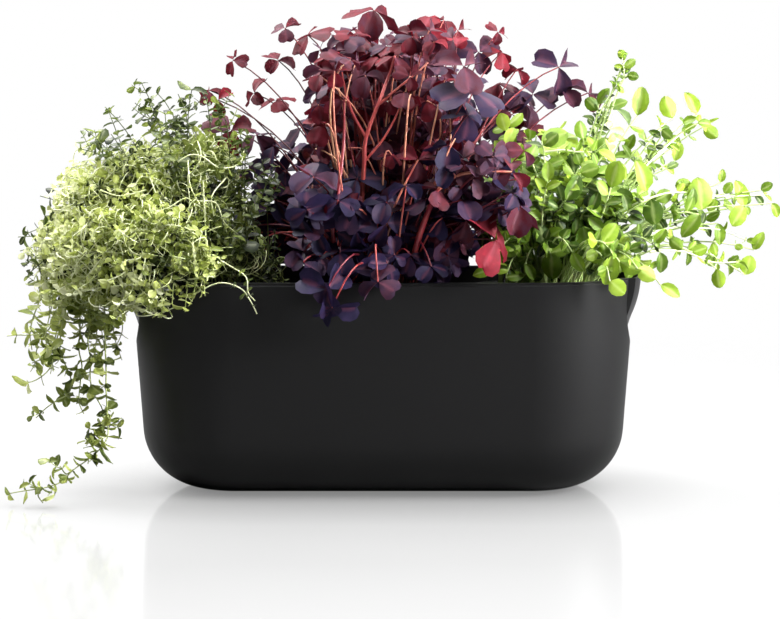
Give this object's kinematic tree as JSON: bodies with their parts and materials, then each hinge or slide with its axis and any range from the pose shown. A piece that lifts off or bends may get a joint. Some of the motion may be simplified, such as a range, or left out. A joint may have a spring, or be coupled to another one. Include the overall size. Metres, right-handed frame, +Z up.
{
  "type": "herb planter",
  "caption": "Self-watering indoor herb planter: a long round-ended outer pot, a lift-out liner with wicks over a water reservoir, and potted thyme, oxalis and oregano.",
  "frame": {"origin": "on the floor under the middle of the vessel, in the plane of the foot ring", "axes": "+X along the planter towards the oregano, -Y the front, +Z up"},
  "size_m": [0.546, 0.1944, 0.3312],
  "materials": {
    "outer_plastic": "fine matt moulded black",
    "liner_plastic": "satin moulded black",
    "nursery_plastic": "thin thermoformed black",
    "foot_rubber": "matt black",
    "wick_felt": "off-white felt",
    "potting_soil": "moist dark potting soil",
    "thyme_leaf": "small matt green leaves",
    "oxalis_leaf": "thin dark red and violet leaves",
    "oregano_leaf": "thin lime green leaves"
  },
  "bodies": {
    "vessel": {"outer_pot": "outer_plastic", "foot_ring": "foot_rubber"},
    "liner": {"insert_tray": "liner_plastic", "wick_left": "wick_felt", "wick_middle": "wick_felt", "wick_right": "wick_felt"},
    "thyme_pot": {"grow_pot_left": "nursery_plastic", "soil_left": "potting_soil", "thyme_plant": "thyme_leaf"},
    "oxalis_pot": {"grow_pot_middle": "nursery_plastic", "soil_middle": "potting_soil", "oxalis_plant": "oxalis_leaf"},
    "oregano_pot": {"grow_pot_right": "nursery_plastic", "soil_right": "potting_soil", "oregano_plant": "oregano_leaf"}
  },
  "joints": [
    {"name": "liner_lift", "type": "slide", "parent": "vessel", "child": "liner", "axis": [0, 0, 1], "range_m": [0, 0.16]},
    {"name": "thyme_lift", "type": "slide", "parent": "liner", "child": "thyme_pot", "axis": [0, 0, 1], "range_m": [0, 0.12]},
    {"name": "oxalis_lift", "type": "slide", "parent": "liner", "child": "oxalis_pot", "axis": [0, 0, 1], "range_m": [0, 0.12]},
    {"name": "oregano_lift", "type": "slide", "parent": "liner", "child": "oregano_pot", "axis": [0, 0, 1], "range_m": [0, 0.12]}
  ]
}
